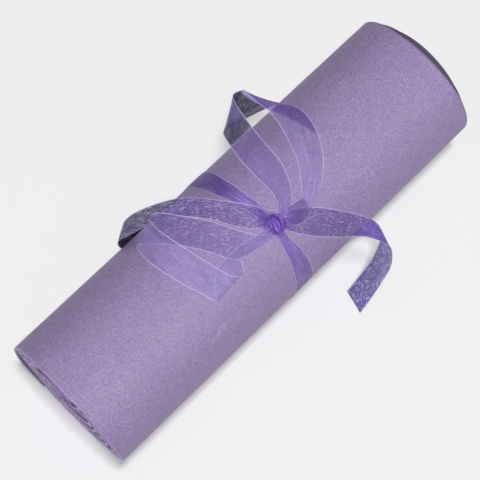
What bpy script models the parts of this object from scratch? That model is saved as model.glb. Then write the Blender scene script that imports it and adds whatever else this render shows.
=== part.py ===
"""A roll of craft felt, tied round the middle with a bow of organza ribbon.

The roll lies along X on the surface z = 0. Its cross-section is an oval with a small flat foot, and
the origin is on that foot, under the middle of the roll. The ribbon is one closed solid: the band
round the roll, the knot, two loops and two tails.

Sizes below are in millimetres, and the mesh is written in metres.
"""

import math

import bpy
import bmesh
from mathutils import Vector

MM = 0.001

# The felt roll
ROLL_LENGTH = 450.0
ROLL_WIDTH = 139.0
ROLL_HEIGHT = 128.0
FOOT_CUT = 3.0
FELT_THICK = 2.2
FREE_EDGE_ANGLE = 300
FREE_EDGE_FADE = 10
SECTION_STEP = 5
LENGTH_STATIONS = 7

OVAL_HALF_WIDTH = ROLL_WIDTH / 2
OVAL_HALF_HEIGHT = (ROLL_HEIGHT + FOOT_CUT) / 2
OVAL_CENTRE_Z = ROLL_HEIGHT - OVAL_HALF_HEIGHT

# Both ends of the roll, from its outside in to its small hollow eye.
# share of the section, how far the left end is drawn in, how far the right end is drawn in
END_RINGS = (
    (1.00, 0.0, 6.0),
    (0.93, 0.6, 6.0),
    (0.92, 1.5, 0.0),
    (0.78, 0.0, 0.6),
    (0.62, 2.0, 1.0),
    (0.45, 3.0, 2.0),
    (0.28, 3.5, 3.0),
    (0.10, 4.0, 4.0),
    (0.09, 14.0, 14.0),
)

# The ribbon
RIBBON_THICK = 1.0
STRIP_GAP = 0.3
BAND_FOOT = 0.2
ACROSS = 3
STRIP_SPACING = 5.0
GROOVE_FROM = 245
GROOVE_TO = 295
GROOVE_SHY = 0.02

# The band round the roll: angle from +Y over the top, centre along X, width
BAND = (
    (0, -5.0, 23.0),
    (30, -2.5, 22.0),
    (60, -0.8, 17.0),
    (90, 4.0, 12.0),
    (110, 6.0, 9.0),
    (125, 5.3, 10.0),
    (140, 5.0, 15.0),
    (160, 4.0, 20.0),
    (185, 1.0, 22.0),
    (225, -12.0, 22.0),
    (270, -21.0, 21.0),
    (315, -14.0, 22.0),
)

# The loops and tails. Each row is a line straight across the ribbon:
# one edge at x, y, z, and the other edge at x, y, z
UPPER_LOOP = (
    ((12, -25, 133), (12, -29, 131)),
    ((19, -17, 140), (24, -26, 134)),
    ((21, -5, 146), (37, -16, 140)),
    ((20, 11, 150), (46, 5, 147)),
    ((22, 33, 149), (49, 27, 148)),
    ((28, 53, 142), (53, 47, 144)),
    ((33, 64, 134), (60, 73, 138)),
    ((38, 68, 127), (67, 86, 129)),
    ((46, 68, 122), (73, 89, 124)),
    ((63, 64, 121), (78, 88, 122)),
    ((80, 58, 123), (80, 85, 125)),
    ((91, 51, 129), (78, 80, 131)),
    ((95, 39, 138), (76, 67, 135)),
    ((95, 24, 146), (76, 48, 138)),
    ((88, 4, 153), (70, 26, 142)),
    ((74, -18, 156), (58, -1, 148)),
    ((57, -33, 153), (45, -19, 149)),
    ((39, -41, 147), (39, -28, 140)),
    ((24, -45, 139), (37, -26, 131)),
    ((16, -41, 135), (29, -24, 130)),
    ((13, -31, 133), (19, -24, 131)),
)

LEFT_LOOP = (
    ((3, -31, 129), (0, -33, 127)),
    ((-9, -26, 130), (-19, -30, 125)),
    ((-20, -9, 131), (-40, -24, 126)),
    ((-32, 16, 130), (-56, 2, 130)),
    ((-47, 42, 123), (-72, 27, 126)),
    ((-56, 57, 117), (-86, 43, 122)),
    ((-64, 58, 122), (-93, 44, 127)),
    ((-69, 51, 131), (-96, 34, 134)),
    ((-71, 36, 141), (-97, 18, 141)),
    ((-68, 10, 146), (-92, -9, 142)),
    ((-62, -17, 144), (-85, -28, 137)),
    ((-55, -36, 137), (-81, -39, 132)),
    ((-46, -39, 132), (-78, -40, 128)),
    ((-40, -33, 130), (-73, -32, 130)),
    ((-38, -29, 130), (-62, -23, 135)),
    ((-32, -30, 129), (-48, -21, 140)),
    ((-18, -32, 127), (-31, -22, 140)),
    ((-4, -34, 126), (-14, -24, 136)),
    ((3, -31, 127), (0, -25, 132)),
)

RIGHT_TAIL = (
    ((14, -27, 131), (9, -30, 129)),
    ((26, -28, 131), (12, -38, 123)),
    ((43, -39, 126), (26, -52, 109)),
    ((60, -56, 117), (46, -66, 93)),
    ((75, -74, 106), (66, -83, 88)),
    ((81, -84, 95), (76, -97, 80)),
    ((82, -88, 82), (81, -105, 66)),
    ((78, -92, 64), (74, -113, 48)),
    ((69, -94, 38), (60, -115, 25)),
    ((57, -93, 14), (46, -116, 7)),
    ((41, -93, 2), (34, -117, 1)),
)

LEFT_TAIL = (
    ((7, -22, 132), (4, -26, 130)),
    ((6, -8, 136), (-7, -19, 130)),
    ((-4, 7, 139), (-19, -7, 134)),
    ((-18, 26, 137), (-31, 15, 133)),
    ((-32, 48, 130), (-48, 38, 127)),
    ((-50, 64, 117), (-67, 53, 120)),
    ((-69, 75, 107), (-86, 62, 110)),
    ((-79, 79, 95), (-94, 69, 96)),
    ((-81, 78, 78), (-94, 72, 78)),
)

KNOT_CENTRE = (7.0, -26.5, 130.0)
KNOT_LEAN = 21.0
KNOT_HALF = (8.0, 9.0, 5.2)
KNOT_PLEATS = 7
KNOT_PLEAT_DEPTH = 0.07


def clear_scene():
    """Start from an empty scene."""
    for thing in list(bpy.data.objects):
        bpy.data.objects.remove(thing, do_unlink=True)


def plain_material(name, colour, roughness):
    """A matte Principled material of one colour."""
    material = bpy.data.materials.new(name)
    material.use_nodes = True
    shader = material.node_tree.nodes["Principled BSDF"]
    shader.inputs["Base Color"].default_value = (*colour, 1.0)
    shader.inputs["Roughness"].default_value = roughness
    shader.inputs["Metallic"].default_value = 0.0
    return material


def oval(angle, outward=0.0):
    """A point (y, z) on the roll's oval, grown outward, before the foot is pressed flat."""
    turn = math.radians(angle)
    y = (OVAL_HALF_WIDTH + outward) * math.cos(turn)
    z = OVAL_CENTRE_Z + (OVAL_HALF_HEIGHT + outward) * math.sin(turn)
    return y, z


def smooth_row(rows, place):
    """Read a table at a fractional row, on a smooth curve through its rows."""
    last = len(rows) - 1
    row = min(int(place), last - 1)
    t = place - row
    before = rows[max(row - 1, 0)]
    start = rows[row]
    end = rows[row + 1]
    after = rows[min(row + 2, last)]
    return [
        b + 0.5 * t * (c - a + t * (2 * a - 5 * b + 4 * c - d + t * (3 * (b - c) + d - a)))
        for a, b, c, d in zip(before, start, end, after)
    ]


def skin(name, rings, material, joined=False):
    """A closed solid through rings of points in millimetres, capped unless its ends are joined."""
    mesh = bpy.data.meshes.new(name)
    shape = bmesh.new()
    loops = [[shape.verts.new(Vector(point) * MM) for point in ring] for ring in rings]
    spans = list(zip(loops, loops[1:]))
    if joined:
        spans.append((loops[-1], loops[0]))
    for first, second in spans:
        size = len(first)
        for i in range(size):
            j = (i + 1) % size
            shape.faces.new((first[i], first[j], second[j], second[i]))
    if not joined:
        shape.faces.new(list(reversed(loops[0])))
        shape.faces.new(loops[-1])
    bmesh.ops.recalc_face_normals(shape, faces=shape.faces)
    shape.to_mesh(mesh)
    shape.free()
    mesh.materials.append(material)
    solid = bpy.data.objects.new(name, mesh)
    bpy.context.scene.collection.objects.link(solid)
    return solid


def guide(solid):
    """Mark a solid as one that only shapes another."""
    solid.hide_render = True
    solid.display_type = "WIRE"
    return solid


def combine(target, other, operation):
    """Unite a solid with another, or cut the other out of it. A loop's ends cross in the knot."""
    step = target.modifiers.new(other.name, "BOOLEAN")
    step.operation = operation
    step.solver = "EXACT"
    step.use_self = operation == "UNION"
    step.object = guide(other)


def roll_section():
    """The roll's outline, with the step where the outer turn's free edge ends."""
    points = []
    for angle in range(0, 360, SECTION_STEP):
        y, z = oval(angle)
        past_edge = FREE_EDGE_ANGLE - angle
        if past_edge == 0:
            points.append(oval(angle, -FELT_THICK))
        if 0 < past_edge < FREE_EDGE_FADE:
            y, z = oval(angle, -FELT_THICK * (1 - past_edge / FREE_EDGE_FADE))
        points.append((y, max(z, 0.0)))
    return points


def make_roll(material):
    """The wound felt: an oval body whose inner turns stand out or sink at the ends."""
    section = roll_section()
    half = ROLL_LENGTH / 2

    def ring(share, x):
        middle = OVAL_CENTRE_Z
        return [(x, y * share, middle + (z - middle) * share) for y, z in section]

    left = [ring(share, -half + left_in) for share, left_in, right_in in reversed(END_RINGS)]
    right = [ring(share, half - right_in) for share, left_in, right_in in END_RINGS]
    start = -half + END_RINGS[0][1]
    length = ROLL_LENGTH - END_RINGS[0][1] - END_RINGS[0][2]
    between = [
        ring(1.0, start + length * i / LENGTH_STATIONS) for i in range(1, LENGTH_STATIONS)
    ]
    return skin("felt_roll", left + between + right, material)


def strip_rings(edges, thick, wider=0.0):
    """Rings of a flat strip, from pairs of edge points in order along it."""
    middles = [(a + b) / 2 for a, b in edges]
    rings = []
    for i, (a, b) in enumerate(edges):
        along = middles[min(i + 1, len(edges) - 1)] - middles[max(i - 1, 0)]
        across = b - a
        up = along.cross(across).normalized() * (thick / 2)
        out = across.normalized() * wider
        a, b = a - out, b + out
        top = [a.lerp(b, j / ACROSS) + up for j in range(ACROSS + 1)]
        under = [b.lerp(a, j / ACROSS) - up for j in range(ACROSS + 1)]
        rings.append(top + under)
    return rings


def make_strip(name, rows, material):
    """A loop or a tail: a strip on a smooth curve through the table's rows."""
    table = [(*a, *b) for a, b in rows]
    edges = []
    for row, (start, end) in enumerate(zip(rows, rows[1:])):
        reach = max((Vector(end[side]) - Vector(start[side])).length for side in (0, 1))
        steps = max(2, round(reach / STRIP_SPACING))
        for i in range(steps):
            point = smooth_row(table, row + i / steps)
            edges.append((Vector(point[:3]), Vector(point[3:])))
    edges.append((Vector(rows[-1][0]), Vector(rows[-1][1])))
    return skin(name, strip_rings(edges, RIBBON_THICK), material)


def band_edges(first, last):
    """Edge points of the band at each angle of the roll's section, from first to last."""
    lift = STRIP_GAP + RIBBON_THICK / 2
    lowest = BAND_FOOT + RIBBON_THICK / 2
    wrapped = [(angle - 360, x, width) for angle, x, width in BAND[-2:]]
    wrapped += BAND
    wrapped += [(angle + 360, x, width) for angle, x, width in BAND[:3]]
    edges = []
    for angle in range(first, last, SECTION_STEP):
        row = max(i for i, entry in enumerate(wrapped) if entry[0] <= angle)
        part = (angle - wrapped[row][0]) / (wrapped[row + 1][0] - wrapped[row][0])
        turn, x, width = smooth_row(wrapped, row + part)
        y, z = oval(angle, lift)
        z = max(z, lowest)
        edges.append((Vector((x - width / 2, y, z)), Vector((x + width / 2, y, z))))
    return edges


def make_band(material):
    """The band round the roll, its ends meeting under the knot."""
    edges = band_edges(0, 360)
    rings = strip_rings([edges[-1]] + edges + [edges[0]], RIBBON_THICK)[1:-1]
    return skin("ribbon", rings, material, joined=True)


def make_groove(material):
    """The shallow trough that the band presses into the roll's foot."""
    edges = band_edges(GROOVE_FROM, GROOVE_TO + SECTION_STEP)
    rings = strip_rings(edges, RIBBON_THICK + 2 * STRIP_GAP - GROOVE_SHY, STRIP_GAP)
    return skin("groove", rings, material)


def make_knot(material):
    """The knot: a small pleated bun that leans with the roll's side."""
    mesh = bpy.data.meshes.new("knot")
    shape = bmesh.new()
    bmesh.ops.create_uvsphere(shape, u_segments=28, v_segments=12, radius=1.0)
    lean = math.radians(KNOT_LEAN)
    for vert in shape.verts:
        x, y, z = vert.co
        around = math.atan2(z, x)
        pleat = 1 - KNOT_PLEAT_DEPTH * math.cos(KNOT_PLEATS * around) * (1 - y * y)
        x, y, z = x * KNOT_HALF[0] * pleat, y * KNOT_HALF[1], z * KNOT_HALF[2] * pleat
        turned = (
            x,
            y * math.cos(lean) - z * math.sin(lean),
            y * math.sin(lean) + z * math.cos(lean),
        )
        vert.co = (Vector(KNOT_CENTRE) + Vector(turned)) * MM
    shape.to_mesh(mesh)
    shape.free()
    mesh.materials.append(material)
    knot = bpy.data.objects.new("knot", mesh)
    bpy.context.scene.collection.objects.link(knot)
    return knot


def build():
    """Make the felt roll and the ribbon tied round it."""
    clear_scene()
    felt = plain_material("felt", (0.33, 0.25, 0.45), 0.95)
    organza = plain_material("organza", (0.22, 0.13, 0.42), 0.45)
    roll = make_roll(felt)
    combine(roll, make_groove(felt), "DIFFERENCE")
    ribbon = make_band(organza)
    combine(ribbon, make_knot(organza), "UNION")
    combine(ribbon, make_strip("upper loop", UPPER_LOOP, organza), "UNION")
    combine(ribbon, make_strip("left loop", LEFT_LOOP, organza), "UNION")
    combine(ribbon, make_strip("right tail", RIGHT_TAIL, organza), "UNION")
    combine(ribbon, make_strip("left tail", LEFT_TAIL, organza), "UNION")


build()
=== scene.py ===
# %% [markdown]
# # A roll of felt with a ribbon bow
# The object is a length of thin lilac craft felt, rolled up on itself and lying on its side. A sheer
# violet organza ribbon goes once round its middle and is tied on top in a bow with two loops and two
# tails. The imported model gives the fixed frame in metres: the roll lies along X and rests on z = 0.
# The two solids of that frame are stood in for here by cloth as it really is, a wound sheet and thin
# strips of ribbon.

# %% Load the frame
import math

import bmesh
import bpy
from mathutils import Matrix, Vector


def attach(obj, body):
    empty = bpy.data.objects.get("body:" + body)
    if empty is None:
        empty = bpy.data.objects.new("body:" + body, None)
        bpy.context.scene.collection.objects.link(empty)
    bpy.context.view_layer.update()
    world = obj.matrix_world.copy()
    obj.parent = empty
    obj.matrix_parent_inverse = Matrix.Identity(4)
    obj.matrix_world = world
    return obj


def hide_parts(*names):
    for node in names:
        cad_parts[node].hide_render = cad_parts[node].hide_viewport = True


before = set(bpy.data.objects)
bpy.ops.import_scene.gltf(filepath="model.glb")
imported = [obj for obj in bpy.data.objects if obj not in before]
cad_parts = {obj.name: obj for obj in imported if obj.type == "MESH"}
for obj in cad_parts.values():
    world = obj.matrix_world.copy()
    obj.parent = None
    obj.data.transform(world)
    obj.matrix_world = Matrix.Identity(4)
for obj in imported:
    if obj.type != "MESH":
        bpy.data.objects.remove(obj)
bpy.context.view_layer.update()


MM = 0.001

# %% [markdown]
# ## Camera, floor and light
# The picture looks down on the roll from a steep angle, with the roll running from the lower left to
# the upper right. The camera comes first, because every other choice is judged through it. A long lens
# far away keeps the roll's sides almost parallel, as the picture shows.

# %% Camera
CAMERA_TURN, CAMERA_RISE, CAMERA_AWAY = -45.15, 70.98, 1.241
AIM = Vector((-9.7, 0.7, 64.0)) * MM
turn, rise = math.radians(CAMERA_TURN), math.radians(CAMERA_RISE)
towards_camera = Vector((
    math.sin(turn) * math.cos(rise), -math.cos(turn) * math.cos(rise), math.sin(rise),
))

lens = bpy.data.cameras.new("camera")
lens.sensor_width = 36.0
lens.lens = 101.25
lens.clip_end = 20.0
camera = bpy.data.objects.new("camera", lens)
camera.location = AIM + towards_camera * CAMERA_AWAY
camera.rotation_euler = towards_camera.to_track_quat("Z", "Y").to_euler()
bpy.context.scene.collection.objects.link(camera)
bpy.context.scene.camera = camera
print("camera at", [round(c, 3) for c in camera.location])

# %% [markdown]
# The set is a pale floor under soft lamps, with a dim sky to fill the shadows. Three lamps light the
# cloth alone: a wide one over the roll, a stronger one in front of it, which puts the brightest band on
# the felt where the picture has it, and a low one that reaches the left end. Three more light the floor
# alone, which keeps it nearly white with a narrow soft shadow beside the roll. The floor throws no light
# back up, because the roll's sides are dark in the picture. Organza lets most light through, so the
# ribbon throws no shadow on the cloth, and only a faint one on the floor.

# %% Floor and lamps
FLOOR_SIZE, FLOOR_GREY, SKY_STRENGTH = 6.0, 0.87, 0.13
ROLL_CENTRE, LEFT_OF_ROLL, FLOOR_CENTRE = (0, 0, 0.06), (-0.2, 0, 0.06), (0, 0, 0)
OVER_FLOOR, FLOOR_FILL_AWAY = (0.06, -0.74, 6.0), 8

floor_shape = bmesh.new()
bmesh.ops.create_grid(floor_shape, x_segments=1, y_segments=1, size=FLOOR_SIZE / 2)
floor_mesh = bpy.data.meshes.new("floor")
floor_shape.to_mesh(floor_mesh)
floor_shape.free()
floor = bpy.data.objects.new("floor", floor_mesh)
bpy.context.scene.collection.objects.link(floor)
floor.visible_diffuse = False

paper = bpy.data.materials.new("pale paper")
paper.use_nodes = True
paper_shader = paper.node_tree.nodes["Principled BSDF"]
paper_shader.inputs["Base Color"].default_value = (FLOOR_GREY, FLOOR_GREY, FLOOR_GREY, 1)
paper_shader.inputs["Roughness"].default_value = 1.0
paper_shader.inputs["Specular IOR Level"].default_value = 0.0
floor_mesh.materials.append(paper)

cloth_group = bpy.data.collections.new("cloth")
solid_group = bpy.data.collections.new("solid cloth")
floor_group = bpy.data.collections.new("floor")
floor_group.objects.link(floor)


def soft_lamp(name, place, aim, size, bright, lights_up, shaded_by):
    """A wide square lamp that looks at a point, as bright there as said, and lights one group alone.

    Only the group that shades it throws a shadow, or all that is there where none is given.
    """
    away = (Vector(place) - Vector(aim)).length
    light = bpy.data.lights.new(name, "AREA")
    light.shape = "SQUARE"
    light.size = size
    light.energy = math.pi**2 * away**2 * bright
    lamp = bpy.data.objects.new(name, light)
    lamp.location = place
    lamp.rotation_euler = (Vector(place) - Vector(aim)).to_track_quat("Z", "Y").to_euler()
    lamp.light_linking.receiver_collection = lights_up
    lamp.light_linking.blocker_collection = shaded_by
    bpy.context.scene.collection.objects.link(lamp)


# name, place, aim, size, how bright at the aim, what it lights, what shades it
for lamp in (
    ("softbox above", (0.05, 0.50, 1.85), ROLL_CENTRE, 1.4, 0.33, cloth_group, solid_group),
    ("softbox in front", (0.16, -1.38, 1.60), ROLL_CENTRE, 0.9, 0.51, cloth_group, solid_group),
    ("softbox at the left", (-2.0, 0.1, 0.25), LEFT_OF_ROLL, 0.7, 0.60, cloth_group, solid_group),
    ("lamp over the floor", OVER_FLOOR, FLOOR_CENTRE, 0.75, 0.36, floor_group, solid_group),
    ("second lamp over the floor", OVER_FLOOR, FLOOR_CENTRE, 0.75, 0.15, floor_group, None),
    ("fill for the floor", towards_camera * FLOOR_FILL_AWAY, FLOOR_CENTRE, 1.0, 0.39, floor_group, None),
):
    soft_lamp(*lamp)

sky = bpy.data.worlds.new("sky")
sky.use_nodes = True
sky.node_tree.nodes["Background"].inputs["Color"].default_value = (1.0, 1.0, 1.0, 1)
sky.node_tree.nodes["Background"].inputs["Strength"].default_value = SKY_STRENGTH
bpy.context.scene.world = sky
bpy.context.scene.view_settings.view_transform = "Standard"
print("floor and lamps ready")

# %% [markdown]
# ## The felt
# The felt is one sheet, 45 cm wide and some metres long, wound into an oval roll. A solid bar with
# rings drawn on its ends would look wrong wherever the ends show, so the sheet is wound for real. It
# starts as a flat grid. One side of the grid runs along the roll and the other round it, turn after
# turn, from the free edge under the roll to the small eye in the middle. The outer turn keeps the same
# sizes as the solid in the frame, with the same flat foot where the roll rests.

# %% The roll's oval
ROLL_LENGTH, ROLL_WIDTH, ROLL_HEIGHT, FOOT_CUT = 450.0, 139.0, 128.0, 3.0
HALF_WIDTH = ROLL_WIDTH / 2
HALF_HEIGHT = (ROLL_HEIGHT + FOOT_CUT) / 2
MEAN_RADIUS = (HALF_WIDTH + HALF_HEIGHT) / 2
MIDDLE = ROLL_HEIGHT - HALF_HEIGHT
FELT_THICK, TURN_PITCH, TURNS = 2.2, 2.65, 23
# degrees round the roll: where the free edge lies, and the ramp by which the next turn passes under it
FREE_EDGE_ANGLE, EDGE_RAMP = 307, 14
STEPS_A_TURN = 72


def smoothly(low, high, value):
    """0 below low, 1 above high, and a soft ramp between them."""
    t = min(max((value - low) / (high - low), 0.0), 1.0)
    return t * t * (3 - 2 * t)


def bump(reach, apart):
    """1 where apart is 0, falling softly to 0 at the reach on both sides."""
    return 1 - smoothly(0, reach, abs(apart))


def oval(angle, outward=0.0):
    """A point (y, z) on the roll's outline in millimetres, from +Y over the top, foot left round."""
    way = math.radians(angle)
    return (HALF_WIDTH + outward) * math.cos(way), MIDDLE + (HALF_HEIGHT + outward) * math.sin(way)


def show(name, shape, uv, places):
    """Make a smooth, mapped object of a bmesh, lit by the cloth's lamps, on the part's one body."""
    for face in shape.faces:
        face.smooth = True
        for loop in face.loops:
            loop[uv].uv = places[loop.vert]
    mesh = bpy.data.meshes.new(name)
    shape.to_mesh(mesh)
    shape.free()
    piece = bpy.data.objects.new(name, mesh)
    bpy.context.scene.collection.objects.link(piece)
    cloth_group.objects.link(piece)
    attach(piece, "root")
    return piece


print("oval", ROLL_WIDTH, "by", ROLL_HEIGHT, "mm")

# %% [markdown]
# The ends of the wound sheet aren't flush. Every turn stands a little in or out of its neighbours. On
# the left end some turns are drawn in deep, which leaves dark slits under the outer turn, and the outer
# turn itself stands out where it ends under the roll. On the right end the outer turn stops short and
# the inner turns stand out of it in small steps. Each end is a short list of soft pushes: which turn,
# its reach in turns, at which angle round the roll, its reach in degrees, and how far in. The gaps
# between turns are too fine to show, so painted shade darkens the felt in rings beside them on the left
# end, in the slits, under the free edge, and on the inner turns under the right end's outer turn.

# %% Ends of the roll
# turn, its reach, angle, its reach, how far in (in millimetres, and less than nothing is out)
LEFT_END = (
    (0.0, 0.6, 335, 60, -2.6), (0.0, 0.9, 160, 40, -0.8), (1.6, 1.7, 40, 30, 0.9),
    (3.2, 3.4, 61, 18, 14.0), (3.8, 4.2, 118, 16, 14.0), (7.4, 1.6, 84, 34, -1.6),
    (9.0, 2.5, 100, 60, 2.2), (7.0, 2.0, 45, 40, 2.0), (14.0, 5.0, 90, 140, 3.0),
    (20.0, 6.0, 90, 400, 4.0), (5.0, 1.5, 230, 60, 1.6), (11.0, 2.0, 250, 80, 2.2),
)
RIGHT_END = (
    (0.0, 0.9, 95, 115, 4.6), (1.1, 0.9, 95, 115, 1.6), (4.5, 2.8, 95, 125, -5.6),
    (2.6, 1.9, 28, 70, -2.4), (2.6, 1.9, 155, 60, -2.0), (0.0, 0.9, 20, 60, -1.5),
    (10.0, 4.0, 60, 200, 1.2), (16.0, 5.0, 90, 300, 2.4), (22.0, 5.0, 90, 400, 4.0),
)
# painted shade in the slits of the left end: angle, its reach, how dark it is, the last full turn, the
# first clear one
SLITS = ((61, 19, 1.0, 6, 8), (118, 16, 0.8, 7, 10))


def drawn_in(pushes, wound, turn_number, angle):
    """How far the end of the sheet is drawn in at a turn and an angle, in millimetres.

    Two waves along the sheet keep the turns inside the outer one from ending alike.
    """
    way = math.radians(angle)
    ragged = math.sin(2.2 * wound / 360 + 0.9 * math.sin(way))
    ragged += 0.8 * math.sin(4.1 * wound / 360 + way)
    total = smoothly(0.7, 1.8, turn_number) * (ragged + 0.4)
    for at_turn, turn_reach, at_angle, angle_reach, depth in pushes:
        apart = (angle - at_angle + 180) % 360 - 180
        total += depth * bump(turn_reach, turn_number - at_turn) * bump(angle_reach, apart)
    return total


def gap_shade(turn_number, angle, across):
    """How much painted shade darkens the felt at a turn, an angle and a share of its width, for the gaps
    and slits in the ends.
    """
    sine = math.sin(math.radians(angle))
    at_left, at_right = 1 - smoothly(0.012, 0.07, across), smoothly(0.965, 0.98, across)
    under_lip = smoothly(0.7, 1.0, turn_number) * (1 - smoothly(5, 8, turn_number))
    under_lip *= smoothly(-0.3, 0.2, sine)
    slits = sum(
        dark * bump(reach, angle - at) * (1 - smoothly(last, clear, turn_number))
        for at, reach, dark, last, clear in SLITS
    )
    slits *= smoothly(0.9, 1.5, turn_number)
    under_free_edge = 0.5 * (1 - smoothly(0.12, 0.2, turn_number))
    rings = 0.18 * (1 + math.sin(0.75 * turn_number + 1.5 * sine))
    rings *= smoothly(0.9, 1.5, turn_number) * (1 - smoothly(0.004, 0.012, across))
    return max(under_lip * at_right, (slits + under_free_edge) * at_left, rings)


print(len(LEFT_END), "and", len(RIGHT_END), "pushes on the two ends")

# %% Wind the sheet
# lines of the grid as shares of the width, closer at both ends and where the band lies under the roll
ACROSS_FELT = (
    0, .004, .012, .03, .07, .14, .24, .34, .41, .425, .435, .455, .475, .485, .5,
    .56, .66, .76, .86, .93, .97, .988, .996, 1,
)
# the band under the roll presses the felt up: where, how far, its flat and full half width, its turns
GROOVE_X, GROOVE_LIFT, GROOVE_FLAT, GROOVE_END, GROOVE_TURNS = -20.0, 0.9, 11, 17, 4
# how high above the floor the groove still lifts the felt, and how much of its own height is kept there
FOOT_REACH, FOOT_EASE = 4, 0.8
# the share of the width where the sheet's length is measured
LENGTH_TAKEN_AT = 0.9


def wound_point(step, share_across):
    """A point of the wound felt's outer face: step counts round the roll, from the free edge in."""
    wound = step * 360 / STEPS_A_TURN
    angle = (FREE_EDGE_ANGLE + wound) % 360
    turn_number = int(wound // 360)
    turn_number += smoothly(360 - EDGE_RAMP, 360, wound - 360 * turn_number)
    share = 1 - turn_number * TURN_PITCH / MEAN_RADIUS
    y, z = oval(angle)
    y, z = y * share, MIDDLE + (max(z, 0.0) - MIDDLE) * share
    left, right = (drawn_in(pushes, wound, turn_number, angle) for pushes in (LEFT_END, RIGHT_END))
    x = -ROLL_LENGTH / 2 + left + (ROLL_LENGTH - left - right) * share_across
    groove = GROOVE_LIFT * (1 - smoothly(GROOVE_FLAT, GROOVE_END, abs(x - GROOVE_X)))
    groove *= max(0.0, 1 - turn_number / GROOVE_TURNS)
    if z < FOOT_REACH + groove:
        z = max(z, groove + FOOT_EASE * z)
    return Vector((x, y, z))


steps_round = TURNS * STEPS_A_TURN
felt_shape = bmesh.new()
bmesh.ops.create_grid(felt_shape, x_segments=len(ACROSS_FELT) - 1, y_segments=steps_round, size=1.0)
felt_uv = felt_shape.loops.layers.uv.new("cloth")
felt_shade = felt_shape.verts.layers.float.new("shade")
length_so_far, before = [0.0], wound_point(0, LENGTH_TAKEN_AT)
for step in range(1, steps_round + 1):
    here = wound_point(step, LENGTH_TAKEN_AT)
    length_so_far.append(length_so_far[-1] + (here - before).length)
    before = here
on_sheet = {}
for vert in felt_shape.verts:
    across = ACROSS_FELT[round((vert.co.x + 1) / 2 * (len(ACROSS_FELT) - 1))]
    step = round((vert.co.y + 1) / 2 * steps_round)
    vert.co = wound_point(step, across) * MM
    turn_number = step / STEPS_A_TURN
    # painted shade for the gaps and slits of the ends, kept on each point for the felt material
    vert[felt_shade] = gap_shade(turn_number, (FREE_EDGE_ANGLE + turn_number * 360) % 360, across)
    on_sheet[vert] = (across * ROLL_LENGTH * MM, length_so_far[step] * MM)
felt_sheet = show("felt_sheet", felt_shape, felt_uv, on_sheet)
cloth = felt_sheet.modifiers.new("felt thickness", "SOLIDIFY")
cloth.thickness = FELT_THICK * MM
cloth.offset = -1.0
first = felt_sheet.data.polygons[0]
if Vector((0, first.center.y, first.center.z - MIDDLE * MM)).dot(first.normal) < 0:
    felt_sheet.data.flip_normals()
solid_group.objects.link(felt_sheet)
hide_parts("felt_roll")

# %% [markdown]
# The felt is a nonwoven: a mat of short fibres pressed together, so it has no weave. Up close it is
# mottled, with pale curved fibres lying in all directions on a lilac ground and faint pink and grey
# patches. The material builds that from layers of noise on the sheet's own map, where one unit is one
# metre of cloth, and a fine bump gives the matte, slightly fuzzy face.

# %% Node helpers
def node(tree, kind, **settings):
    """A node of a material, with settings for its options."""
    made = tree.nodes.new(kind)
    for key, value in settings.items():
        setattr(made, key, value)
    return made


def noise(tree, vector, scale, detail, rough, distort=0.0):
    """A cloud of noise on a vector, from 0 to 1."""
    made = node(tree, "ShaderNodeTexNoise")
    made.inputs["Scale"].default_value = scale
    made.inputs["Detail"].default_value = detail
    made.inputs["Roughness"].default_value = rough
    made.inputs["Distortion"].default_value = distort
    tree.links.new(vector, made.inputs["Vector"])
    return made.outputs["Fac"]


def remap(tree, value, low, high, to_low, to_high):
    """Stretch a range of one value to another range, held at its ends."""
    made = node(tree, "ShaderNodeMapRange")
    for key, number in zip(("From Min", "From Max", "To Min", "To Max"), (low, high, to_low, to_high)):
        made.inputs[key].default_value = number
    tree.links.new(value, made.inputs["Value"])
    return made.outputs["Result"]


def fill(tree, socket, value):
    """Put a number, a colour or another node's output into a socket."""
    if hasattr(value, "links"):
        tree.links.new(value, socket)
    elif hasattr(value, "__len__"):
        socket.default_value = (*value, 1)
    elif value is not None:
        socket.default_value = value


def mix_colour(tree, share, first, second, way="MIX"):
    """Mix two colours by a share; a colour is a socket or three numbers."""
    made = node(tree, "ShaderNodeMix", data_type="RGBA", blend_type=way)
    coloured = {s.name: s for s in made.inputs if s.type == "RGBA"}
    fill(tree, coloured["A"], first)
    fill(tree, coloured["B"], second)
    fill(tree, made.inputs["Factor"], share)
    return [s for s in made.outputs if s.type == "RGBA"][0]


def sums(tree, operation, first, second=None):
    """One sum of two values; each is a socket or a number."""
    made = node(tree, "ShaderNodeMath", operation=operation)
    fill(tree, made.inputs[0], first)
    fill(tree, made.inputs[1], second)
    return made.outputs[0]


def turned_map(tree, vector, angle, stretch):
    """The cloth's map turned by an angle in degrees, then stretched."""
    made = node(tree, "ShaderNodeMapping", vector_type="TEXTURE")
    made.inputs["Rotation"].default_value = (0, 0, math.radians(angle))
    made.inputs["Scale"].default_value = [1 / value for value in stretch]
    tree.links.new(vector, made.inputs["Vector"])
    return made.outputs["Vector"]


def new_material(name):
    """A material with its tree, its shader and the cloth's map."""
    made = bpy.data.materials.new(name)
    made.use_nodes = True
    tree = made.node_tree
    cloth_map = node(tree, "ShaderNodeUVMap", uv_map="cloth").outputs["UV"]
    return made, tree, tree.nodes["Principled BSDF"], cloth_map


def set_finish(shader, roughness, specular, sheen, sheen_roughness):
    """How matte or shiny a cloth is."""
    shader.inputs["Roughness"].default_value = roughness
    shader.inputs["Specular IOR Level"].default_value = specular
    shader.inputs["Sheen Weight"].default_value = sheen
    shader.inputs["Sheen Roughness"].default_value = sheen_roughness


def add_relief(tree, shader, height, strength, depth):
    """A fine bump over the cloth, its depth in metres."""
    made = node(tree, "ShaderNodeBump")
    made.inputs["Strength"].default_value = strength
    made.inputs["Distance"].default_value = depth
    tree.links.new(height, made.inputs["Height"])
    tree.links.new(made.outputs["Normal"], shader.inputs["Normal"])


print("node helpers ready")

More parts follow.
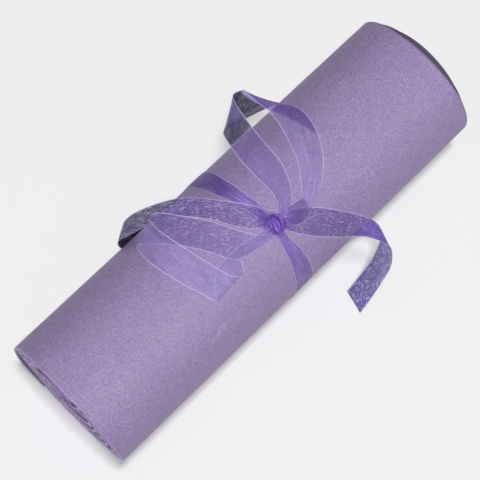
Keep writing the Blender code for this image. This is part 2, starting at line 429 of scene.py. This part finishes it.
# %% Felt material
LILAC, ROSY_LILAC = (0.380, 0.285, 0.570), (0.435, 0.300, 0.575)
DEEP_MOTTLE, DEEP_GRAIN = (0.260, 0.175, 0.410), (0.245, 0.170, 0.405)
PALE_GRAIN, PALE_FIBRE = (0.600, 0.485, 0.770), (0.630, 0.530, 0.810)
PAINTED_SHADE_COLOUR = (0.070, 0.060, 0.085)
FIBRE_ANGLES, FIBRE_STRETCH = (42, 60, 24, -35, 88), (66, 1000, 1)
SWIRL_SCALE, SWIRL_REACH = 16, (0.055, 0.055, 0)

felt, tree, shader, cloth_map = new_material("lilac felt")
patches = noise(tree, cloth_map, 24, 3, 0.55)
mottle = noise(tree, cloth_map, 360, 4, 0.7, 0.5)
grain = noise(tree, cloth_map, 760, 2, 0.6)

swirl = node(tree, "ShaderNodeVectorMath", operation="MULTIPLY_ADD")
swirl_noise = node(tree, "ShaderNodeTexNoise")
swirl_noise.inputs["Scale"].default_value = SWIRL_SCALE
swirl_noise.inputs["Detail"].default_value = 1
tree.links.new(cloth_map, swirl_noise.inputs["Vector"])
tree.links.new(swirl_noise.outputs["Color"], swirl.inputs[0])
swirl.inputs[1].default_value = SWIRL_REACH
tree.links.new(cloth_map, swirl.inputs[2])
fibres = None
for angle in FIBRE_ANGLES:
    lying = turned_map(tree, swirl.outputs["Vector"], angle, FIBRE_STRETCH)
    strands = remap(tree, noise(tree, lying, 1.0, 1, 0.5), 0.60, 0.72, 0, 1)
    fibres = strands if fibres is None else sums(tree, "MAXIMUM", fibres, strands)

colour = mix_colour(tree, remap(tree, patches, 0.35, 0.65, 0, 1), LILAC, ROSY_LILAC)
colour = mix_colour(tree, remap(tree, mottle, 0.38, 0.56, 0.58, 0), colour, DEEP_MOTTLE)
colour = mix_colour(tree, remap(tree, grain, 0.38, 0.58, 0.62, 0), colour, DEEP_GRAIN)
colour = mix_colour(tree, remap(tree, grain, 0.52, 0.64, 0, 0.46), colour, PALE_GRAIN)
colour = mix_colour(tree, sums(tree, "MULTIPLY", fibres, 0.36), colour, PALE_FIBRE)
# painted shade: the shade attribute darkens the felt towards dark grey in the gaps and slits of the ends
shade = node(tree, "ShaderNodeAttribute", attribute_name="shade").outputs["Fac"]
colour = mix_colour(tree, sums(tree, "MULTIPLY", shade, 0.82), colour, PAINTED_SHADE_COLOUR)
tree.links.new(colour, shader.inputs["Base Color"])
set_finish(shader, roughness=0.55, specular=0.85, sheen=0.02, sheen_roughness=0.6)
height = sums(tree, "ADD", mottle, sums(tree, "MULTIPLY", grain, 0.5))
height = sums(tree, "ADD", height, sums(tree, "MULTIPLY", fibres, 0.3))
add_relief(tree, shader, height, strength=0.5, depth=0.0007)
felt_sheet.data.materials.append(felt)
print("felt material:", len(tree.nodes), "nodes")

# %% [markdown]
# ## The ribbon
# The ribbon is organza, 25 mm wide, very thin, sheer and springy, with a close thread along each edge
# that catches the light. It goes once round the roll, through the knot, and out into two loops and two
# tails. Each stretch is a strip between two edges. The lists give points on both edges in order, which
# says where the ribbon lies, how it turns over and where it folds, and the strip is laid smoothly
# through them. Near the knot the whole width is gathered into a few millimetres, so it lies in pleats.

# %% Where the ribbon goes
# each row is a point on either edge, x, y, z in millimetres, from the knot on
UPPER_LOOP = (
    ((12, -25, 133), (12, -29, 131)), ((19, -17, 140), (24, -26, 134)),
    ((21, -5, 146), (37, -16, 140)), ((20, 11, 150), (46, 5, 147)),
    ((22, 33, 149), (49, 27, 148)), ((28, 53, 142), (53, 47, 144)),
    ((33, 64, 134), (60, 73, 138)), ((38, 68, 127), (67, 86, 129)),
    ((46, 68, 122), (73, 89, 124)), ((63, 64, 121), (78, 88, 122)),
    ((80, 58, 123), (80, 85, 125)), ((91, 51, 129), (78, 80, 131)),
    ((95, 39, 138), (76, 67, 135)), ((95, 24, 146), (76, 48, 138)),
    ((88, 4, 153), (70, 26, 142)), ((74, -18, 156), (58, -1, 148)),
    ((57, -33, 153), (45, -19, 149)), ((39, -41, 147), (39, -28, 140)),
    ((24, -45, 139), (37, -26, 131)), ((16, -41, 135), (29, -24, 130)),
    ((13, -31, 133), (19, -24, 131)),
)
LEFT_LOOP = (
    ((3, -31, 129), (0, -33, 127)), ((-9, -26, 130), (-19, -30, 125)),
    ((-21, -10, 134), (-41, -25, 129)), ((-33, 15, 134), (-57, 1, 134)),
    ((-48, 41, 128), (-73, 26, 130)), ((-57, 56, 122), (-87, 42, 126)),
    ((-65, 57, 126), (-93, 44, 129)), ((-69, 51, 131), (-96, 34, 134)),
    ((-71, 36, 141), (-97, 18, 141)), ((-68, 10, 146), (-92, -9, 142)),
    ((-62, -17, 144), (-85, -28, 137)), ((-55, -36, 137), (-81, -39, 132)),
    ((-46, -39, 132), (-78, -40, 128)), ((-40, -33, 130), (-73, -32, 130)),
    ((-38, -29, 130), (-62, -23, 135)), ((-32, -30, 129), (-48, -21, 140)),
    ((-18, -32, 127), (-31, -22, 140)), ((-4, -34, 126), (-14, -24, 136)),
    ((3, -31, 127), (0, -25, 132)),
)
RIGHT_TAIL = (
    ((14, -27, 131), (9, -30, 129)), ((26, -28, 131), (12, -38, 123)),
    ((43, -39, 126), (26, -52, 109)), ((60, -56, 117), (46, -66, 93)),
    ((75, -74, 106), (66, -83, 88)), ((81, -84, 95), (76, -97, 80)),
    ((82, -88, 82), (81, -105, 66)), ((78, -92, 64), (74, -113, 48)),
    ((69, -94, 38), (60, -115, 25)), ((57, -93, 14), (46, -116, 7)),
    ((41, -93, 2), (34, -117, 1)),
)
LEFT_TAIL = (
    ((7, -22, 132), (4, -26, 130)), ((6, -8, 136), (-7, -19, 130)),
    ((-4, 7, 138), (-19, -7, 132)), ((-17, 27, 134), (-30, 16, 129)),
    ((-31, 49, 124), (-46, 40, 120)), ((-49, 65, 113), (-66, 54, 115)),
    ((-68, 76, 104), (-85, 63, 106)), ((-79, 79, 95), (-94, 69, 96)),
    ((-78, 78, 82), (-96, 70, 84)), ((-60, 70.4, 64), (-92, 70.4, 64)),
)
# angle round the roll, the band's middle along X, its width
BAND = (
    (0, -5.0, 23.0), (30, -2.5, 22.0), (60, -0.8, 17.0), (90, 4.0, 12.0), (110, 6.0, 9.0),
    (125, 5.3, 10.0), (140, 5.0, 15.0), (160, 4.0, 20.0), (185, 1.0, 22.0), (225, -12.0, 22.0),
    (270, -21.0, 21.0), (315, -14.0, 22.0),
)
print(len(UPPER_LOOP) + len(LEFT_LOOP) + len(RIGHT_TAIL) + len(LEFT_TAIL), "rows of loops and tails")

# %% [markdown]
# The ribbon looks different along its way, and much of that is light and shade painted into its colour.
# Over the felt it is clear violet, where it turns to the lamp it has a pale, milky painted highlight,
# where it turns away it has deep violet painted shade, and past the sides of the roll, with nothing
# bright behind it, painted shade makes it almost grey. Each strip has a short list of these tints: the
# first one, and then lines across the strip, given by the row on each edge, where the next tint takes
# over.

# %% Tints along the ribbon
# red, green, blue, how closed the cloth looks, and how much painted glint it has
TINTS = {
    "over felt": (0.175, 0.105, 0.440, 0.50, 0.35),
    # a painted highlight, pale and milky, where the ribbon turns to the lamp
    "painted milky highlight": (0.285, 0.212, 0.550, 0.55, 0.35),
    "thin": (0.240, 0.170, 0.540, 0.40, 0.30),
    "crossed": (0.135, 0.080, 0.360, 0.52, 0.85),
    "inside": (0.150, 0.078, 0.400, 0.64, 0.30),
    # deep and deep calm are painted shade where the ribbon turns away from the lamp
    "deep": (0.100, 0.050, 0.290, 0.62, 1.00),
    "deep calm": (0.095, 0.048, 0.275, 0.66, 0.75),
    "dark": (0.105, 0.043, 0.350, 0.80, 0.30),
    "doubled": (0.110, 0.046, 0.350, 0.74, 0.25),
    # the grey and hanging tints are painted shade past the roll's sides, where nothing bright lies behind
    # the cloth
    "grey": (0.024, 0.021, 0.055, 0.965, 0.22),
    "grey rim": (0.072, 0.055, 0.150, 0.940, 0.20),
    "grey sparkling": (0.085, 0.074, 0.165, 0.955, 0.95),
    "grey doubled": (0.180, 0.138, 0.410, 0.70, 0.25),
    "hanging": (0.120, 0.060, 0.400, 0.93, 0.50),
    "hanging sparkling": (0.120, 0.085, 0.340, 0.94, 1.25),
    "streaky": (0.210, 0.125, 0.500, 0.70, 0.30),
    # painted shade in the knot's furrows and a painted highlight on its crests
    "painted knot furrow shade": (0.066, 0.016, 0.280, 0.92, 0.05),
    "painted knot crest highlight": (0.260, 0.115, 0.680, 0.92, 0.05),
}
UPPER_TINTS = (
    "over felt", (4.72, 5.06, "grey rim"), (6.4, 5.45, "grey doubled"), (7.6, 7.1, "grey"),
    (10.4, 9.2, "doubled"), (14.3, 12.7, "painted milky highlight"), (17.4, 17.2, "inside"),
)
LEFT_TINTS = ("thin", (1.9, 1.5, "crossed"), (5.7, 5.7, "painted milky highlight"), (13.3, 13.3, "thin"))
RIGHT_TAIL_TINTS = (
    "doubled", (1.6, 1.2, "deep calm"), (4.25, 3.5, "hanging"), (6.7, 6.1, "hanging sparkling"),
)
LEFT_TAIL_TINTS = ("doubled", (1.2, 1.0, "deep"), (4.1, 5.1, "grey sparkling"), (7.2, 7.0, "grey"))
BAND_TINTS = ("streaky", (170, 170, "over felt"), (330, 330, "dark"), (432, 432, "streaky"))


def tint_at(tints, place, across, soft):
    """The tint at a place along a strip and a share across it."""
    tint = TINTS[tints[0]]
    for at_a, at_b, name in tints[1:]:
        share = smoothly(-soft, soft, place - at_a - (at_b - at_a) * across)
        tint = [a + (b - a) * share for a, b in zip(tint, TINTS[name])]
    return tint


print(len(TINTS), "tints")

# %% Lay a strip
RIBBON_WIDTH, ACROSS_RIBBON, ALONG_STEP = 25.0, 24, 1.6
# widths in millimetres: pleats are full below the first, and gone from the second
ALL_PLEATED, ALL_FLAT = 6, 24
# how deep the pleats are at most and how steep in narrow places, and how far the flat cloth swells
DEEPEST_PLEAT, PLEAT_STEEPNESS, EASE_LIFT = 0.9, 9, 0.35
# the run of ribbon over which the pleats sway and the flat cloth swells
PLEAT_RUN, EASE_RUN = 17, 23


def smooth_row(rows, place):
    """Read a list of rows at a fractional row, on a smooth curve through the rows."""
    last = len(rows) - 1
    row = min(int(place), last - 1)
    t = place - row
    before, start, end, after = rows[max(row - 1, 0)], rows[row], rows[row + 1], rows[min(row + 2, last)]
    return [
        b + 0.5 * t * (c - a + t * (2 * a - 5 * b + 4 * c - d + t * (3 * (b - c) + d - a)))
        for a, b, c, d in zip(before, start, end, after)
    ]


def edges_of(rows):
    """Places along a strip, each with the points on its two edges, close together."""
    table = [(*a, *b) for a, b in rows]
    edges = []
    for row, (start, end) in enumerate(zip(rows, rows[1:])):
        reach = max((Vector(end[side]) - Vector(start[side])).length for side in (0, 1))
        steps = max(4, round(reach / ALONG_STEP))
        for i in range(steps):
            point = smooth_row(table, row + i / steps)
            edges.append((row + i / steps, Vector(point[:3]), Vector(point[3:])))
    edges.append((len(rows) - 1, Vector(rows[-1][0]), Vector(rows[-1][1])))
    return edges


def lay_strip(name, edges, tints, soft=0.12, pleats=5, fullness=1.0):
    """A strip of ribbon between pairs of edge points, pleated where its width is gathered."""
    rows = len(edges) - 1
    middles = [(a + b) / 2 for place, a, b in edges]
    run = [0.0]
    for a, b in zip(middles, middles[1:]):
        run.append(run[-1] + (b - a).length)
    shape = bmesh.new()
    bmesh.ops.create_grid(shape, x_segments=ACROSS_RIBBON, y_segments=rows, size=1.0)
    uv = shape.loops.layers.uv.new("cloth")
    dye_and_painted_light = shape.verts.layers.float_color.new("dye_and_painted_light")
    painted_glint = shape.verts.layers.float.new("painted_glint")
    gathered = shape.verts.layers.float.new("gathered")
    places = {}
    for vert in shape.verts:
        t = (vert.co.x + 1) / 2
        row = round((vert.co.y + 1) / 2 * rows)
        place, a, b = edges[row]
        along = middles[min(row + 1, rows)] - middles[max(row - 1, 0)]
        width = (b - a).length
        up = along.cross(b - a).normalized()
        gather = 1 - smoothly(ALL_PLEATED, ALL_FLAT, width)
        wave = math.sin(2 * math.pi * pleats * t + 1.3 * math.sin(run[row] / PLEAT_RUN))
        ease = math.sin(math.pi * t) * math.sin(run[row] / EASE_RUN + 2 * t)
        lift = wave * min(DEEPEST_PLEAT, width / PLEAT_STEEPNESS) * gather * fullness
        lift += EASE_LIFT * ease * (1 - gather)
        tint = tint_at(tints, place, t, soft)
        vert[dye_and_painted_light] = tint[:4]
        vert[painted_glint] = tint[4]
        vert[gathered] = gather
        places[vert] = (run[row] * MM, t * RIBBON_WIDTH * MM)
        vert.co = (a.lerp(b, t) + up * lift) * MM
    strip = show(name, shape, uv, places)
    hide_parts("ribbon")
    print(name, round(run[-1]), "mm long,", len(strip.data.polygons), "faces")
    return strip, run[-1] * MM


# %% Loops and tails
strips = []
for name, rows, tints, held in (
    ("ribbon_upper_loop", UPPER_LOOP, UPPER_TINTS, "gathered"),
    ("ribbon_left_loop", LEFT_LOOP, LEFT_TINTS, "gathered"),
    ("ribbon_right_tail", RIGHT_TAIL, RIGHT_TAIL_TINTS, "hung"),
    ("ribbon_left_tail", LEFT_TAIL, LEFT_TAIL_TINTS, "hung"),
):
    strip, length = lay_strip(name, edges_of(rows), tints)
    strips.append(strip)

# %% [markdown]
# The band is the part of the ribbon that goes round the roll. It is flat and nearly full width on the
# sides and under the roll, and drawn together to a third of its width where it reaches the knot.

# %% Band round the roll
# how far the band stands off the felt and the floor, and the angles where it starts and between rows
BAND_LIFT, BAND_FOOT, BAND_START, BAND_STEP = 0.45, 0.3, 122, 2
wrapped = [(angle - 360, x, width) for angle, x, width in BAND[-2:]]
wrapped += list(BAND) + [(angle + 360, x, width) for angle, x, width in BAND]
band_edges = []
for angle in range(BAND_START, BAND_START + 360 + BAND_STEP, BAND_STEP):
    row = max(i for i, entry in enumerate(wrapped) if entry[0] <= angle)
    part = (angle - wrapped[row][0]) / (wrapped[row + 1][0] - wrapped[row][0])
    at_angle, x, width = smooth_row(wrapped, row + part)
    y, z = oval(at_angle, BAND_LIFT)
    z = max(z, BAND_FOOT)
    band_edges.append((angle, Vector((x - width / 2, y, z)), Vector((x + width / 2, y, z))))
band, band_length = lay_strip("ribbon_band", band_edges, BAND_TINTS, soft=9, pleats=6, fullness=0.55)

# %% [markdown]
# The knot is where the ribbon crosses itself. Its pleats are pulled tight, so it is modelled as one
# small bun with furrows running over it, leaning with the side of the roll. Its colour has painted shade
# in the furrows and a painted highlight on the crests.

# %% Knot
KNOT_CENTRE, KNOT_LEAN, KNOT_HALF = Vector((6.6, -27.4, 129.8)), 21.0, (8.4, 9.0, 5.0)
KNOT_GATHER = 0.35
# millimetres of the ribbon's map for half the knot's length and for a radian round it
KNOT_MAP_ALONG, KNOT_MAP_ROUND = 9, 7
# depth, how many round the knot, how they bend along it, where the first one starts
FURROWS = ((0.08, 9, 0, 0.0), (0.07, 14, 0, 1.0), (0.05, 23, 5, 0.0))

knot_shape = bmesh.new()
bmesh.ops.create_uvsphere(knot_shape, u_segments=144, v_segments=40, radius=1.0)
knot_uv = knot_shape.loops.layers.uv.new("cloth")
knot_dye_and_painted_light = knot_shape.verts.layers.float_color.new("dye_and_painted_light")
knot_painted_glint = knot_shape.verts.layers.float.new("painted_glint")
knot_gathered = knot_shape.verts.layers.float.new("gathered")
lean = math.radians(KNOT_LEAN)
around_knot = {}
for vert in knot_shape.verts:
    x, y, z = vert.co
    around = math.atan2(z, x)
    twist = around + 0.7 * y + 0.25 * math.sin(3 * y + 2 * around)
    furrow = sum(deep * math.cos(count * twist + bend * y + start) for deep, count, bend, start in FURROWS)
    grow = 1 - furrow * max(0.0, 1 - y * y) ** 0.4
    waist = 1 - 0.10 * math.cos(math.pi * y) + 0.08 * math.sin(2 * around + 3 * y)
    x, y, z = x * KNOT_HALF[0] * grow * waist, y * KNOT_HALF[1], z * KNOT_HALF[2] * grow
    round_place = RIBBON_WIDTH / 2 + KNOT_MAP_ROUND * (abs(around) - math.pi / 2)
    around_knot[vert] = (vert.co.y * KNOT_MAP_ALONG * MM, round_place * MM)
    # painted shade in the furrows and a painted highlight on the crests
    crest = 1 - smoothly(-0.14, 0.10, furrow)
    tint = [a + (b - a) * crest for a, b in zip(TINTS["painted knot furrow shade"], TINTS["painted knot crest highlight"])]
    turned = (x, y * math.cos(lean) - z * math.sin(lean), y * math.sin(lean) + z * math.cos(lean))
    vert.co = (KNOT_CENTRE + Vector(turned)) * MM
    vert[knot_dye_and_painted_light] = tint[:4]
    vert[knot_painted_glint] = tint[4]
    vert[knot_gathered] = KNOT_GATHER
knot = show("ribbon_knot", knot_shape, knot_uv, around_knot)
solid_group.objects.link(knot)
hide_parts("ribbon")
print("knot", [round(2 * half) for half in KNOT_HALF], "mm")

# %% [markdown]
# Organza is woven from single shiny threads with open space between them, so the felt shows through.
# The material is partly open, more so over the felt and less where the ribbon is gathered or hangs in
# shade past the roll. The threads along both edges are close together and pale. Small painted glints,
# longer along the ribbon than across it, stand for threads that face the lamp. Painted pale and dark
# streaks stand for the lit crests and shaded creases of the gathered pleats, and the colour is painted
# lighter and darker along random soft folds.

# %% Organza material
# painted shade for the pleats' creases and a painted highlight for their crests, where the ribbon is
# gathered
PAINTED_PLEAT_SHADE, PAINTED_PLEAT_HIGHLIGHT = (0.050, 0.018, 0.190), (0.460, 0.340, 0.820)
GLINT, EDGE_THREADS = (0.64, 0.57, 0.92), (0.70, 0.61, 0.94)
# how far from the ribbon's middle the edge threads begin and are full, in metres
EDGE_FROM, EDGE_FULL = 0.01170, 0.01200

organza, tree, shader, cloth_map = new_material("violet organza")
dye_and_painted_light = node(tree, "ShaderNodeAttribute", attribute_name="dye_and_painted_light")
painted_glint = node(tree, "ShaderNodeAttribute", attribute_name="painted_glint").outputs["Fac"]
gathered = node(tree, "ShaderNodeAttribute", attribute_name="gathered").outputs["Fac"]

map_parts = node(tree, "ShaderNodeSeparateXYZ")
tree.links.new(cloth_map, map_parts.inputs[0])
off_middle = sums(tree, "SUBTRACT", map_parts.outputs["Y"], RIBBON_WIDTH * MM / 2)
selvedge = remap(tree, sums(tree, "ABSOLUTE", off_middle), EDGE_FROM, EDGE_FULL, 0, 1)
grain = noise(tree, turned_map(tree, cloth_map, 0, (420, 760, 1)), 1.0, 2, 0.6)
folds = noise(tree, turned_map(tree, cloth_map, 10, (30, 110, 1)), 1.0, 3, 0.5, 0.6)
streaks = noise(tree, turned_map(tree, cloth_map, 0, (30, 420, 1)), 1.0, 2, 0.6)
dash = noise(tree, turned_map(tree, cloth_map, 6, (250, 1100, 1)), 1.0, 2, 0.6, 0.7)
cluster = noise(tree, turned_map(tree, cloth_map, 0, (70, 170, 1)), 1.0, 3, 0.6)
# painted glints: pale dashes mixed into the colour where threads would catch the lamp
glints = sums(tree, "MULTIPLY", remap(tree, dash, 0.51, 0.60, 0, 0.85), painted_glint)
glints = sums(tree, "MULTIPLY", glints, remap(tree, cluster, 0.34, 0.62, 0.25, 1))
# painted highlight and painted shade streaks along the gathered pleats
painted_pleat_highlight_share = sums(tree, "MULTIPLY", remap(tree, streaks, 0.53, 0.61, 0, 0.95), gathered)
painted_pleat_shade_share = sums(tree, "MULTIPLY", remap(tree, streaks, 0.34, 0.46, 0.75, 0), gathered)

weave = mix_colour(tree, remap(tree, grain, 0.3, 0.7, 0, 1), (0.68, 0.68, 0.68), (1.34, 1.34, 1.34))
# painted light and shade: the colour gets lighter and darker along random soft folds
waves = mix_colour(tree, remap(tree, folds, 0.35, 0.65, 0, 1), (0.80, 0.80, 0.86), (1.45, 1.50, 1.22))
colour = mix_colour(tree, 1.0, dye_and_painted_light.outputs["Color"], weave, "MULTIPLY")
colour = mix_colour(tree, 1.0, colour, waves, "MULTIPLY")
colour = mix_colour(tree, painted_pleat_shade_share, colour, PAINTED_PLEAT_SHADE)
colour = mix_colour(tree, painted_pleat_highlight_share, colour, PAINTED_PLEAT_HIGHLIGHT)
colour = mix_colour(tree, glints, colour, GLINT)
colour = mix_colour(tree, sums(tree, "MULTIPLY", selvedge, 0.90), colour, EDGE_THREADS)
tree.links.new(colour, shader.inputs["Base Color"])
closed = sums(tree, "ADD", dye_and_painted_light.outputs["Alpha"], remap(tree, folds, 0.3, 0.7, -0.10, 0.10))
closed = sums(tree, "ADD", closed, sums(tree, "MULTIPLY", gathered, 0.20))
closed = sums(tree, "MAXIMUM", closed, sums(tree, "MULTIPLY", selvedge, 0.92))
closed = sums(tree, "MINIMUM", sums(tree, "MAXIMUM", closed, glints), 1.0)
tree.links.new(closed, shader.inputs["Alpha"])
set_finish(shader, roughness=0.45, specular=0.35, sheen=0.10, sheen_roughness=0.35)
threads = sums(tree, "ADD", dash, sums(tree, "ADD", folds, streaks))
add_relief(tree, shader, threads, strength=0.3, depth=0.0004)
for strip in strips + [band, knot]:
    strip.data.materials.append(organza)
print("organza material:", len(tree.nodes), "nodes")
